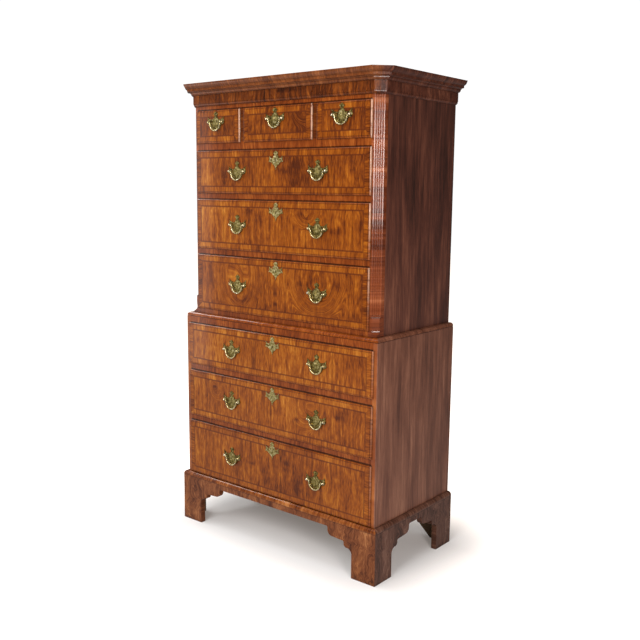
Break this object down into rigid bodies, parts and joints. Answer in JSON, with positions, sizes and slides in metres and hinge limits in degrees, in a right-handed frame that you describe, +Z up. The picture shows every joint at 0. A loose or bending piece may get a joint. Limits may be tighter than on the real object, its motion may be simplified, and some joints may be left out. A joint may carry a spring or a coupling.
{
  "type": "tall chest of drawers",
  "caption": "Tall walnut chest on a chest with lipped drawers, canted fluted corners, moulded cornice, bracket feet and brass swan-neck bail handles.",
  "frame": {"origin": "on the floor, under the middle of the whole chest with its handles and mouldings", "axes": "+Z up, the front with the drawers faces -Y, +X to the right seen from the front"},
  "size_m": [1.021, 0.532, 1.804],
  "materials": {
    "walnut_drawer_fronts": "figured walnut veneer with cross-banded edges, waxed",
    "walnut_rails": "cross-grained walnut veneer, waxed",
    "walnut_posts": "cross-grained walnut veneer in short lengths, waxed",
    "walnut_frieze": "cross-grained walnut veneer in short lengths, waxed",
    "walnut_moulding": "cross-grained walnut moulding, waxed",
    "walnut_sides": "straight-grained walnut, dull wax",
    "walnut_plinth": "walnut veneer on sawn bracket feet, worn wax",
    "oak_carcase": "dry unpolished oak",
    "oak_back": "rough-planed dry oak planks",
    "oak_linings": "planed oak, unpolished",
    "pine_blocks": "sawn pine",
    "brass_plates": "aged, unlacquered",
    "brass_bails": "aged, rubbed bright by hands"
  },
  "bodies": {
    "case": {"plinth_front": "walnut_plinth", "plinth_sides": "walnut_plinth", "rear_brackets": "oak_carcase", "foot_blocks": "pine_blocks", "base_moulding": "walnut_moulding", "lower_sides": "walnut_sides", "lower_top_and_bottom": "oak_carcase", "lower_back_boards": "oak_back", "lower_rails": "walnut_rails", "waist_moulding": "walnut_moulding", "corner_posts": "walnut_posts", "upper_sides": "walnut_sides", "upper_top_and_bottom": "oak_carcase", "upper_back_boards": "oak_back", "upper_rails": "walnut_rails", "short_drawer_dividers": "walnut_rails", "frieze": "walnut_frieze", "cornice_moulding": "walnut_moulding"},
    "lower_drawer_1": {"lower_drawer_1_front": "walnut_drawer_fronts", "lower_drawer_1_lining": "oak_linings", "lower_drawer_1_brasses": "brass_plates"},
    "lower_drawer_1_bail_left": {"lower_drawer_1_bail_left": "brass_bails"},
    "lower_drawer_1_bail_right": {"lower_drawer_1_bail_right": "brass_bails"},
    "lower_drawer_2": {"lower_drawer_2_front": "walnut_drawer_fronts", "lower_drawer_2_lining": "oak_linings", "lower_drawer_2_brasses": "brass_plates"},
    "lower_drawer_2_bail_left": {"lower_drawer_2_bail_left": "brass_bails"},
    "lower_drawer_2_bail_right": {"lower_drawer_2_bail_right": "brass_bails"},
    "lower_drawer_3": {"lower_drawer_3_front": "walnut_drawer_fronts", "lower_drawer_3_lining": "oak_linings", "lower_drawer_3_brasses": "brass_plates"},
    "lower_drawer_3_bail_left": {"lower_drawer_3_bail_left": "brass_bails"},
    "lower_drawer_3_bail_right": {"lower_drawer_3_bail_right": "brass_bails"},
    "upper_drawer_1": {"upper_drawer_1_front": "walnut_drawer_fronts", "upper_drawer_1_lining": "oak_linings", "upper_drawer_1_brasses": "brass_plates"},
    "upper_drawer_1_bail_left": {"upper_drawer_1_bail_left": "brass_bails"},
    "upper_drawer_1_bail_right": {"upper_drawer_1_bail_right": "brass_bails"},
    "upper_drawer_2": {"upper_drawer_2_front": "walnut_drawer_fronts", "upper_drawer_2_lining": "oak_linings", "upper_drawer_2_brasses": "brass_plates"},
    "upper_drawer_2_bail_left": {"upper_drawer_2_bail_left": "brass_bails"},
    "upper_drawer_2_bail_right": {"upper_drawer_2_bail_right": "brass_bails"},
    "upper_drawer_3": {"upper_drawer_3_front": "walnut_drawer_fronts", "upper_drawer_3_lining": "oak_linings", "upper_drawer_3_brasses": "brass_plates"},
    "upper_drawer_3_bail_left": {"upper_drawer_3_bail_left": "brass_bails"},
    "upper_drawer_3_bail_right": {"upper_drawer_3_bail_right": "brass_bails"},
    "top_left_drawer": {"top_left_drawer_front": "walnut_drawer_fronts", "top_left_drawer_lining": "oak_linings", "top_left_drawer_brasses": "brass_plates"},
    "top_left_drawer_bail": {"top_left_drawer_bail": "brass_bails"},
    "top_middle_drawer": {"top_middle_drawer_front": "walnut_drawer_fronts", "top_middle_drawer_lining": "oak_linings", "top_middle_drawer_brasses": "brass_plates"},
    "top_middle_drawer_bail": {"top_middle_drawer_bail": "brass_bails"},
    "top_right_drawer": {"top_right_drawer_front": "walnut_drawer_fronts", "top_right_drawer_lining": "oak_linings", "top_right_drawer_brasses": "brass_plates"},
    "top_right_drawer_bail": {"top_right_drawer_bail": "brass_bails"}
  },
  "joints": [
    {"name": "lower_drawer_1_slide", "type": "slide", "parent": "case", "child": "lower_drawer_1", "axis": [0, -1, 0], "range_m": [0, 0.38]},
    {"name": "lower_drawer_1_bail_left_swing", "type": "hinge", "parent": "lower_drawer_1", "child": "lower_drawer_1_bail_left", "pos_m": [-0.219, -0.253, 0.767], "axis": [-1, 0, 0], "range_deg": [-5, 85]},
    {"name": "lower_drawer_1_bail_right_swing", "type": "hinge", "parent": "lower_drawer_1", "child": "lower_drawer_1_bail_right", "pos_m": [0.219, -0.253, 0.767], "axis": [-1, 0, 0], "range_deg": [-5, 85]},
    {"name": "lower_drawer_2_slide", "type": "slide", "parent": "case", "child": "lower_drawer_2", "axis": [0, -1, 0], "range_m": [0, 0.38]},
    {"name": "lower_drawer_2_bail_left_swing", "type": "hinge", "parent": "lower_drawer_2", "child": "lower_drawer_2_bail_left", "pos_m": [-0.219, -0.253, 0.559], "axis": [-1, 0, 0], "range_deg": [-5, 85]},
    {"name": "lower_drawer_2_bail_right_swing", "type": "hinge", "parent": "lower_drawer_2", "child": "lower_drawer_2_bail_right", "pos_m": [0.219, -0.253, 0.559], "axis": [-1, 0, 0], "range_deg": [-5, 85]},
    {"name": "lower_drawer_3_slide", "type": "slide", "parent": "case", "child": "lower_drawer_3", "axis": [0, -1, 0], "range_m": [0, 0.38]},
    {"name": "lower_drawer_3_bail_left_swing", "type": "hinge", "parent": "lower_drawer_3", "child": "lower_drawer_3_bail_left", "pos_m": [-0.219, -0.253, 0.326], "axis": [-1, 0, 0], "range_deg": [-5, 85]},
    {"name": "lower_drawer_3_bail_right_swing", "type": "hinge", "parent": "lower_drawer_3", "child": "lower_drawer_3_bail_right", "pos_m": [0.219, -0.253, 0.326], "axis": [-1, 0, 0], "range_deg": [-5, 85]},
    {"name": "upper_drawer_1_slide", "type": "slide", "parent": "case", "child": "upper_drawer_1", "axis": [0, -1, 0], "range_m": [0, 0.38]},
    {"name": "upper_drawer_1_bail_left_swing", "type": "hinge", "parent": "upper_drawer_1", "child": "upper_drawer_1_bail_left", "pos_m": [-0.201, -0.2345, 1.465], "axis": [-1, 0, 0], "range_deg": [-5, 85]},
    {"name": "upper_drawer_1_bail_right_swing", "type": "hinge", "parent": "upper_drawer_1", "child": "upper_drawer_1_bail_right", "pos_m": [0.201, -0.2345, 1.465], "axis": [-1, 0, 0], "range_deg": [-5, 85]},
    {"name": "upper_drawer_2_slide", "type": "slide", "parent": "case", "child": "upper_drawer_2", "axis": [0, -1, 0], "range_m": [0, 0.38]},
    {"name": "upper_drawer_2_bail_left_swing", "type": "hinge", "parent": "upper_drawer_2", "child": "upper_drawer_2_bail_left", "pos_m": [-0.201, -0.2345, 1.2605], "axis": [-1, 0, 0], "range_deg": [-5, 85]},
    {"name": "upper_drawer_2_bail_right_swing", "type": "hinge", "parent": "upper_drawer_2", "child": "upper_drawer_2_bail_right", "pos_m": [0.201, -0.2345, 1.2605], "axis": [-1, 0, 0], "range_deg": [-5, 85]},
    {"name": "upper_drawer_3_slide", "type": "slide", "parent": "case", "child": "upper_drawer_3", "axis": [0, -1, 0], "range_m": [0, 0.38]},
    {"name": "upper_drawer_3_bail_left_swing", "type": "hinge", "parent": "upper_drawer_3", "child": "upper_drawer_3_bail_left", "pos_m": [-0.201, -0.2345, 1.0265], "axis": [-1, 0, 0], "range_deg": [-5, 85]},
    {"name": "upper_drawer_3_bail_right_swing", "type": "hinge", "parent": "upper_drawer_3", "child": "upper_drawer_3_bail_right", "pos_m": [0.201, -0.2345, 1.0265], "axis": [-1, 0, 0], "range_deg": [-5, 85]},
    {"name": "top_left_drawer_slide", "type": "slide", "parent": "case", "child": "top_left_drawer", "axis": [0, -1, 0], "range_m": [0, 0.38]},
    {"name": "top_left_drawer_bail_swing", "type": "hinge", "parent": "top_left_drawer", "child": "top_left_drawer_bail", "pos_m": [-0.316, -0.2345, 1.6555], "axis": [-1, 0, 0], "range_deg": [-5, 85]},
    {"name": "top_middle_drawer_slide", "type": "slide", "parent": "case", "child": "top_middle_drawer", "axis": [0, -1, 0], "range_m": [0, 0.38]},
    {"name": "top_middle_drawer_bail_swing", "type": "hinge", "parent": "top_middle_drawer", "child": "top_middle_drawer_bail", "pos_m": [-0.005, -0.2345, 1.6555], "axis": [-1, 0, 0], "range_deg": [-5, 85]},
    {"name": "top_right_drawer_slide", "type": "slide", "parent": "case", "child": "top_right_drawer", "axis": [0, -1, 0], "range_m": [0, 0.38]},
    {"name": "top_right_drawer_bail_swing", "type": "hinge", "parent": "top_right_drawer", "child": "top_right_drawer_bail", "pos_m": [0.306, -0.2345, 1.6555], "axis": [-1, 0, 0], "range_deg": [-5, 85]}
  ]
}
